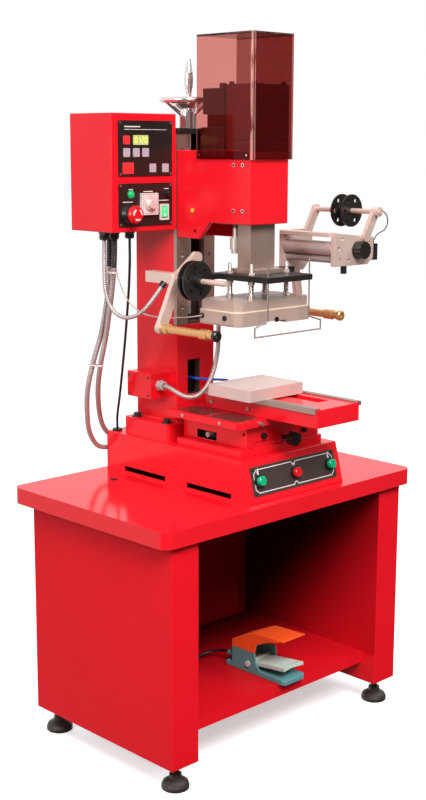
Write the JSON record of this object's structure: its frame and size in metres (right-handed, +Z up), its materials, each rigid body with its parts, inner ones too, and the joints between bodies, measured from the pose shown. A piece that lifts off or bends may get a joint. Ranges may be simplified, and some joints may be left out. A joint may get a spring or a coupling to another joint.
{
  "type": "hot foil stamping press",
  "caption": "Pneumatic hot foil stamping press on a red cabinet stand, with sliding work table, heated ram, foil rollers, handwheel, control box and foot pedal.",
  "frame": {"origin": "on the floor, at the middle of the part's own box seen from above, cords left out", "axes": "+Z up from the floor, -Y towards the operator, +X to the operator's right"},
  "size_m": [0.82, 0.632, 1.618],
  "materials": {
    "red_enamel": "gloss",
    "red_casting": "gloss enamel",
    "black_metal": "satin",
    "black_plastic": "satin",
    "steel": "ground",
    "chrome": "polished",
    "aluminium": "machined",
    "brass": "turned",
    "rubber": "matt",
    "smoked": "clear smoked",
    "green_plastic": "gloss",
    "red_plastic": "gloss",
    "white_plastic": "satin",
    "key_plastic": "satin",
    "teal_paint": "satin",
    "orange_paint": "satin",
    "pale_paint": "satin",
    "conduit": "clear sleeve over metal",
    "black_cable": "matt",
    "pale_wire": "braided",
    "blue_tube": "gloss",
    "red_alu": "gloss enamel"
  },
  "bodies": {
    "stand": {"table_top": "red_enamel", "cabinet": "red_enamel", "foot_pads": "rubber", "foot_stems": "steel", "base_housing": "red_enamel", "front_panels": "black_metal", "button_collars": "black_plastic", "xy_base": "red_casting", "column": "red_casting", "column_ways": "steel", "column_cap": "black_metal", "frame_screws": "black_metal", "junction_box": "red_enamel", "control_box": "red_enamel", "display_keys": "key_plastic", "white_bezels": "white_plastic", "glands": "black_plastic", "pedal_base": "teal_paint", "pedal_guard": "orange_paint", "base_conduits": "conduit", "reel_conduit": "conduit", "heater_conduit": "conduit", "black_cord": "black_cable", "sensor_wire": "pale_wire", "air_tube": "blue_tube", "pedal_cord": "black_cable"},
    "start_left": {"start_left": "green_plastic"},
    "start_right": {"start_right": "green_plastic"},
    "stop_button": {"stop_button": "red_plastic"},
    "estop": {"estop": "red_plastic"},
    "rocker": {"rocker": "green_plastic"},
    "temp_dial": {"temp_dial": "aluminium"},
    "treadle": {"treadle": "pale_paint"},
    "saddle": {"saddle": "red_casting"},
    "saddle_knob": {"saddle_knob": "black_plastic"},
    "cross_plate": {"cross_plate": "red_casting"},
    "work_slide": {"work_slide": "red_alu", "slide_rails": "steel", "fixture_block": "aluminium"},
    "head": {"head_housing": "red_casting", "head_screws": "steel", "smoked_cover": "smoked", "air_cylinder": "aluminium", "air_valve": "black_plastic"},
    "handwheel": {"handwheel": "chrome"},
    "wheel_grip": {"wheel_grip": "chrome"},
    "ram": {"ram": "steel", "tool_plate": "black_metal", "posts": "steel", "heater": "aluminium", "bail": "steel", "foil_frames": "aluminium", "reel_wire": "black_cable"},
    "unwind_spool": {"unwind_spool": "black_plastic"},
    "left_roller": {"left_roller": "brass"},
    "right_roller": {"right_roller": "brass"},
    "feed_roller": {"feed_roller": "steel"},
    "pinch_roller": {"pinch_roller": "rubber"},
    "rewind_reel": {"rewind_reel": "black_plastic"},
    "tension_knob": {"tension_knob": "black_plastic"}
  },
  "joints": [
    {"name": "start_left_press", "type": "slide", "parent": "stand", "child": "start_left", "axis": [0, 0.9671, -0.2545], "range_m": [0, 0.004], "stiffness_N_per_m": 400, "springref_m": -0.002},
    {"name": "start_right_press", "type": "slide", "parent": "stand", "child": "start_right", "axis": [0, 0.9671, -0.2545], "range_m": [0, 0.004], "stiffness_N_per_m": 400, "springref_m": -0.002},
    {"name": "stop_button_press", "type": "slide", "parent": "stand", "child": "stop_button", "axis": [0, 0.9671, -0.2545], "range_m": [0, 0.004], "stiffness_N_per_m": 400, "springref_m": -0.002},
    {"name": "estop_press", "type": "slide", "parent": "stand", "child": "estop", "axis": [0, 1, 0], "range_m": [0, 0.006], "stiffness_N_per_m": 600, "springref_m": -0.003},
    {"name": "rocker_turn", "type": "hinge", "parent": "stand", "child": "rocker", "pos_m": [-0.131, 0.0945, 1.232], "axis": [1, 0, 0], "range_deg": [0, 16]},
    {"name": "temp_dial_turn", "type": "hinge", "parent": "stand", "child": "temp_dial", "pos_m": [-0.178, 0.0935, 1.251], "axis": [0, -1, 0], "range_deg": [-150, 150]},
    {"name": "treadle_press", "type": "hinge", "parent": "stand", "child": "treadle", "pos_m": [0.035, -0.062, 0.158], "axis": [1, 0, 0], "range_deg": [0, 8], "stiffness_Nm_per_rad": 6, "springref_deg": -14.32},
    {"name": "saddle_slide", "type": "slide", "parent": "stand", "child": "saddle", "axis": [0, 1, 0], "range_m": [-0.012, 0.012]},
    {"name": "saddle_knob_turn", "type": "hinge", "parent": "saddle", "child": "saddle_knob", "pos_m": [0.026, -0.154, 0.725], "axis": [0, -1, 0], "range_deg": [-2160, 2160]},
    {"name": "cross_slide", "type": "slide", "parent": "saddle", "child": "cross_plate", "axis": [1, 0, 0], "range_m": [-0.012, 0.012]},
    {"name": "work_slide_travel", "type": "slide", "parent": "cross_plate", "child": "work_slide", "axis": [0, 1, 0], "range_m": [-0.1, 0]},
    {"name": "head_height", "type": "slide", "parent": "stand", "child": "head", "axis": [0, 0, 1], "range_m": [-0.04, 0.02], "deforming": ["reel_conduit", "heater_conduit", "sensor_wire"]},
    {"name": "handwheel_turn", "type": "hinge", "parent": "stand", "child": "handwheel", "pos_m": [-0.0295, 0.12, 1.418], "axis": [0, 0, 1], "range_deg": [-2880, 1440]},
    {"name": "wheel_grip_spin", "type": "hinge", "parent": "handwheel", "child": "wheel_grip", "pos_m": [0.01222, 0.16172, 1.53], "axis": [0, 0, 1], "continuous": true},
    {"name": "ram_stroke", "type": "slide", "parent": "head", "child": "ram", "axis": [0, 0, 1], "range_m": [-0.075, 0], "deforming": ["reel_conduit", "heater_conduit", "sensor_wire"]},
    {"name": "unwind_spool_spin", "type": "hinge", "parent": "ram", "child": "unwind_spool", "pos_m": [-0.2, -0.084, 1.094], "axis": [0, 1, 0], "continuous": true},
    {"name": "left_roller_spin", "type": "hinge", "parent": "ram", "child": "left_roller", "pos_m": [-0.249, -0.104, 0.99], "axis": [0, 1, 0], "continuous": true},
    {"name": "right_roller_spin", "type": "hinge", "parent": "ram", "child": "right_roller", "pos_m": [0.2, -0.104, 0.99], "axis": [0, 1, 0], "continuous": true},
    {"name": "feed_roller_spin", "type": "hinge", "parent": "ram", "child": "feed_roller", "pos_m": [0.145, -0.104, 1.15], "axis": [0, 1, 0], "continuous": true},
    {"name": "pinch_roller_spin", "type": "hinge", "parent": "ram", "child": "pinch_roller", "pos_m": [0.15, -0.104, 1.1251], "axis": [0, 1, 0], "continuous": true},
    {"name": "rewind_reel_spin", "type": "hinge", "parent": "ram", "child": "rewind_reel", "pos_m": [0.264, -0.104, 1.23], "axis": [0, 1, 0], "continuous": true},
    {"name": "tension_knob_turn", "type": "hinge", "parent": "ram", "child": "tension_knob", "pos_m": [0.21, -0.204, 1.145], "axis": [0, -1, 0], "range_deg": [-360, 360]}
  ],
  "couplings": [
    {"joint": "saddle_knob_turn", "follows": "saddle_slide", "rad_per_m": 3141.6},
    {"joint": "handwheel_turn", "follows": "head_height", "rad_per_m": 1256.6},
    {"joint": "pinch_roller_spin", "follows": "feed_roller_spin", "ratio": -1.7778}
  ]
}
